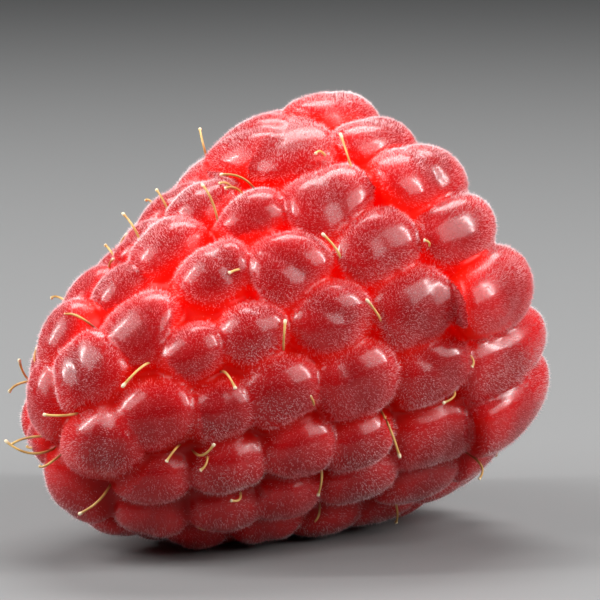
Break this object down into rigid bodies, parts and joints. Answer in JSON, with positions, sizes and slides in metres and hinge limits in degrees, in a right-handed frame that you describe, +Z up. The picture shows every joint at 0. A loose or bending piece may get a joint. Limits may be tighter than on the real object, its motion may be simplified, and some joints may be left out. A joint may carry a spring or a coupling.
{
  "type": "raspberry",
  "caption": "Ripe red raspberry picked off its core, lying on its side, with plump drupelets, dried styles and an open conical hollow.",
  "frame": {"origin": "middle of the footprint box, on the surface that the fruit lies on", "axes": "+X from the closed tip towards the open rim along the fruit's axis seen from above, +Y across it, +Z up. The axis itself dips 16.5 degrees towards the tip."},
  "size_m": [0.0242, 0.0208, 0.0201],
  "materials": {
    "raspberry_flesh": "soft translucent red flesh with a pale downy bloom"
  },
  "bodies": {
    "root": {"raspberry": "raspberry_flesh"}
  },
  "joints": []
}
